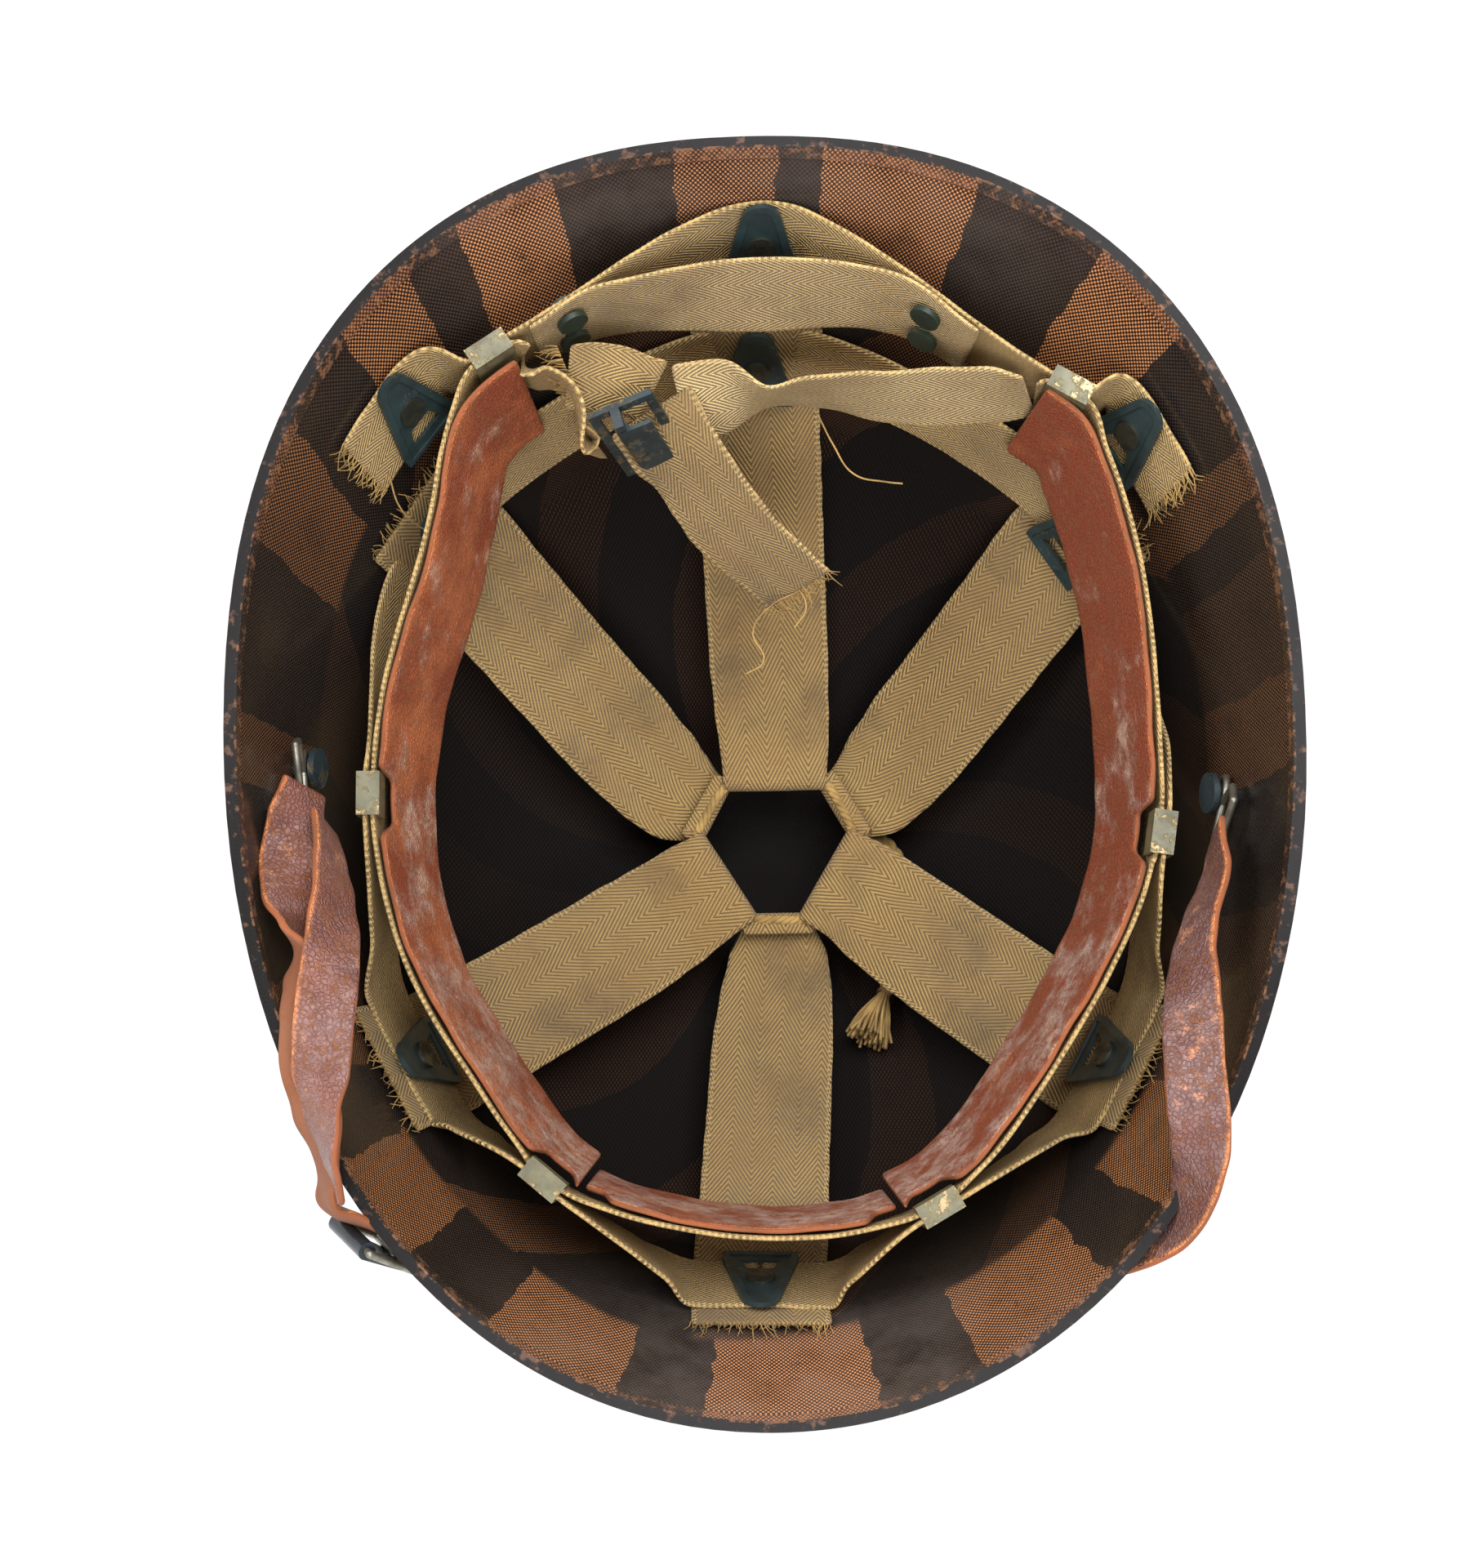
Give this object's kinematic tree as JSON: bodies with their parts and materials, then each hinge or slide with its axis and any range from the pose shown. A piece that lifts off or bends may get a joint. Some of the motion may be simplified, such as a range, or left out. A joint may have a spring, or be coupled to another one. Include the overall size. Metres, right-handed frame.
{
  "type": "helmet liner",
  "caption": "Deep oval helmet liner bowl with a flared rim, riveted webbing suspension, leather sweatband held by spring clips and a leather chinstrap.",
  "frame": {"origin": "middle of the small flat on the crown on which the liner rests, below the dome's axis", "axes": "+Z out of the opening along the dome's axis, +Y towards the nape, -Y towards the visor, +X to the right of the picture"},
  "size_m": [0.2291, 0.2814, 0.1766],
  "materials": {
    "laminate": "lacquered resin and cotton laminate",
    "binding": "worn edge",
    "webbing": "soiled herringbone webbing",
    "lacing_cord": "braided cord",
    "sweatband_leather": "cracked",
    "strap_leather": "worn",
    "washer_enamel": "chipped enamel",
    "stud_enamel": "chipped enamel",
    "clip_enamel": "worn enamel",
    "rivet_metal": "tarnished",
    "dark_steel": "tarnished"
  },
  "bodies": {
    "helmet": {"chinstrap_buckle_frame": "dark_steel", "chinstrap_left_end": "strap_leather", "chinstrap_long": "strap_leather", "chinstrap_loop_left": "dark_steel", "chinstrap_loop_right": "dark_steel", "chinstrap_return": "strap_leather", "chinstrap_stud_left": "dark_steel", "chinstrap_stud_right": "dark_steel", "crown_cord": "lacing_cord", "crown_cord_tail": "lacing_cord", "crown_cord_tassel": "lacing_cord", "crown_strap_front": "webbing", "crown_strap_left_front": "webbing", "crown_strap_left_rear": "webbing", "crown_strap_rear": "webbing", "crown_strap_right_front": "webbing", "crown_strap_right_rear": "webbing", "liner_shell": "laminate", "nape_band": "webbing", "nape_rivet_left": "rivet_metal", "nape_rivet_rear": "rivet_metal", "nape_rivet_right": "rivet_metal", "nape_strap": "webbing", "nape_stud_left_lower": "stud_enamel", "nape_stud_left_upper": "stud_enamel", "nape_stud_right_lower": "stud_enamel", "nape_stud_right_upper": "stud_enamel", "nape_washer_left": "washer_enamel", "nape_washer_rear": "washer_enamel", "nape_washer_right": "washer_enamel", "rim_binding": "binding", "suspension_band": "webbing", "suspension_rivet_front": "rivet_metal", "suspension_rivet_left_front": "rivet_metal", "suspension_rivet_left_rear": "rivet_metal", "suspension_rivet_rear": "rivet_metal", "suspension_rivet_right_front": "rivet_metal", "suspension_rivet_right_rear": "rivet_metal", "suspension_washer_front": "washer_enamel", "suspension_washer_left_front": "washer_enamel", "suspension_washer_left_rear": "washer_enamel", "suspension_washer_rear": "washer_enamel", "suspension_washer_right_front": "washer_enamel", "suspension_washer_right_rear": "washer_enamel"},
    "headband": {"headband_buckle_frame": "dark_steel", "headband_clip_left_front": "clip_enamel", "headband_clip_left_mid": "clip_enamel", "headband_clip_left_rear": "clip_enamel", "headband_clip_right_front": "clip_enamel", "headband_clip_right_mid": "clip_enamel", "headband_clip_right_rear": "clip_enamel", "headband_leather_front": "sweatband_leather", "headband_leather_left": "sweatband_leather", "headband_leather_right": "sweatband_leather", "headband_left_web": "webbing", "headband_right_web": "webbing", "headband_tail_web": "webbing", "headband_webbing": "webbing"},
    "headband_jaw": {"headband_buckle_jaw": "dark_steel"},
    "chinstrap_lever": {"chinstrap_buckle_lever": "dark_steel"}
  },
  "joints": [
    {"name": "headband_lift", "type": "slide", "parent": "helmet", "child": "headband", "axis": [0, 0, 1], "range_m": [0, 0.075]},
    {"name": "headband_buckle_jaw_hinge", "type": "hinge", "parent": "headband", "child": "headband_jaw", "pos_m": [-0.02766, 0.08346, 0.12089], "axis": [-0.2699, 0.2099, 0.9397], "range_deg": [-75, 0]},
    {"name": "chinstrap_lever_hinge", "type": "hinge", "parent": "helmet", "child": "chinstrap_lever", "pos_m": [-0.08976, -0.09503, 0.14857], "axis": [-0.5594, 0.4006, -0.7256], "range_deg": [0, 80]}
  ]
}
